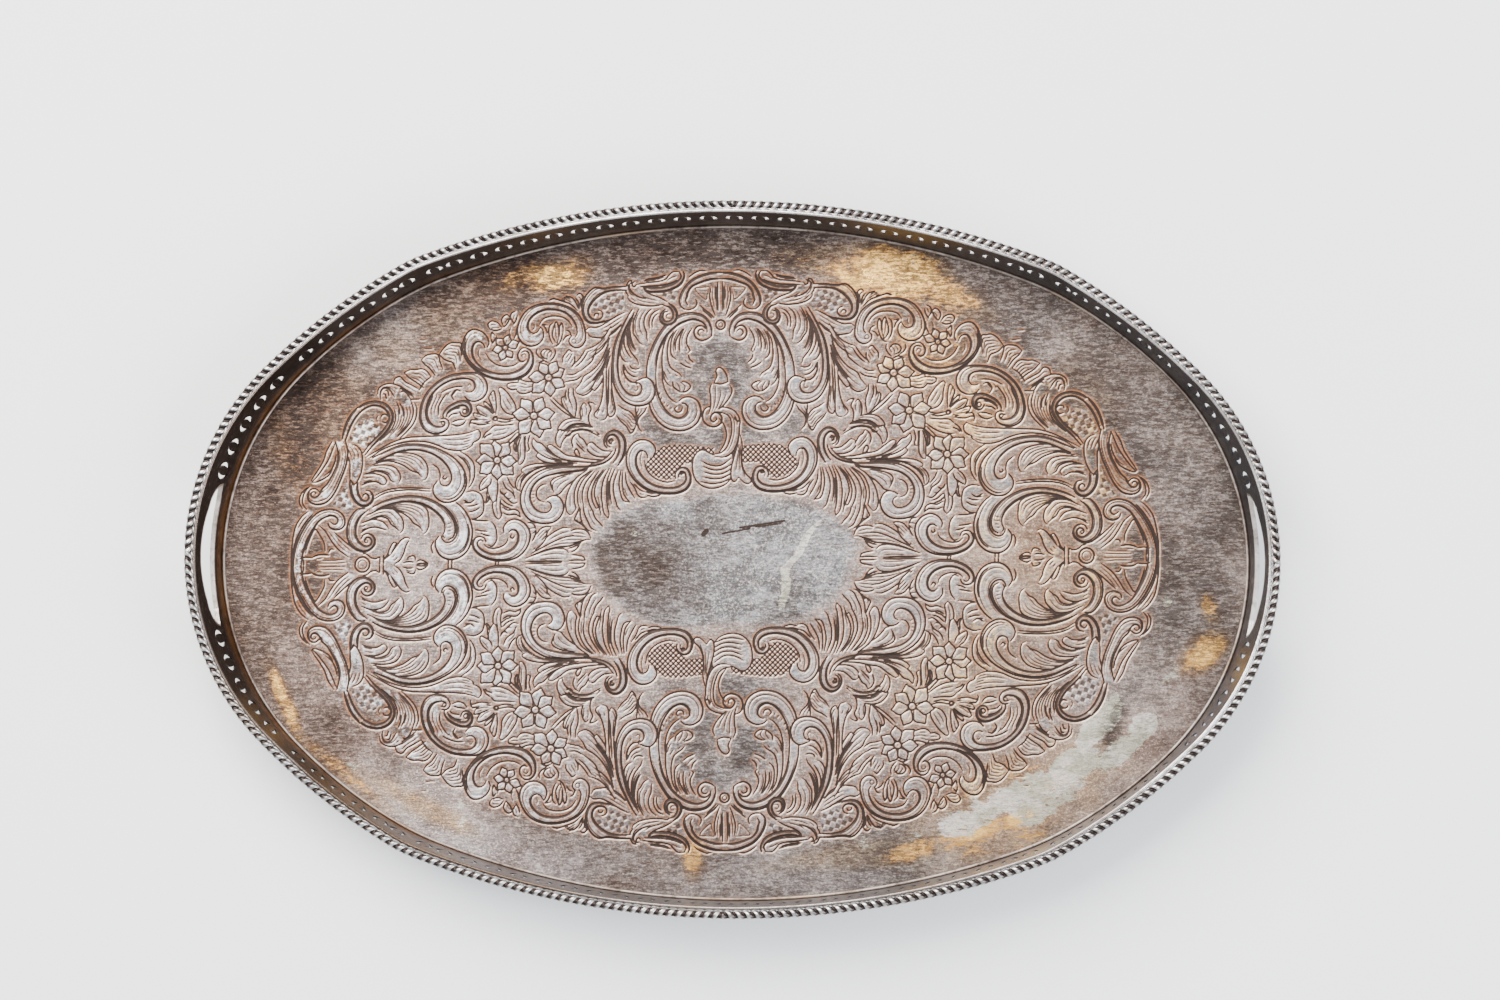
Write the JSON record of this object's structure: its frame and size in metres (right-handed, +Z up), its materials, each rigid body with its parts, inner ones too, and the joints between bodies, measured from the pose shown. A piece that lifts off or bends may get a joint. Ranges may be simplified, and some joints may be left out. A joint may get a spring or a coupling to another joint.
{
  "type": "dresser vanity tray",
  "caption": "Oval silver-plated vanity tray with a chased floor, an upright pierced gallery wall with a hand hole at each end, a gadroon rim and bun feet.",
  "frame": {"origin": "centre of the tray's plan, on the surface that its feet stand on", "axes": "+Z up out of the tray, +X along the tray towards the right hand hole, +Y across it towards the back"},
  "size_m": [0.56, 0.367, 0.0474],
  "materials": {
    "floor_plate": "tarnished silver plate, satin, engraved",
    "gallery_plate": "dark tarnished silver plate",
    "rim_plate": "worn bright silver plate",
    "foot_plate": "tarnished silver plate"
  },
  "bodies": {
    "root": {"floor_sheet": "floor_plate", "gallery_back": "gallery_plate", "gallery_front": "gallery_plate", "gallery_left": "gallery_plate", "gallery_right": "gallery_plate", "hand_hole_lip_left": "gallery_plate", "hand_hole_lip_right": "gallery_plate", "base_wire_back": "rim_plate", "base_wire_front": "rim_plate", "base_wire_left": "rim_plate", "base_wire_right": "rim_plate", "rim_back": "rim_plate", "rim_front": "rim_plate", "rim_left": "rim_plate", "rim_right": "rim_plate", "foot_back_left": "foot_plate", "foot_back_right": "foot_plate", "foot_front_left": "foot_plate", "foot_front_right": "foot_plate"}
  },
  "joints": []
}
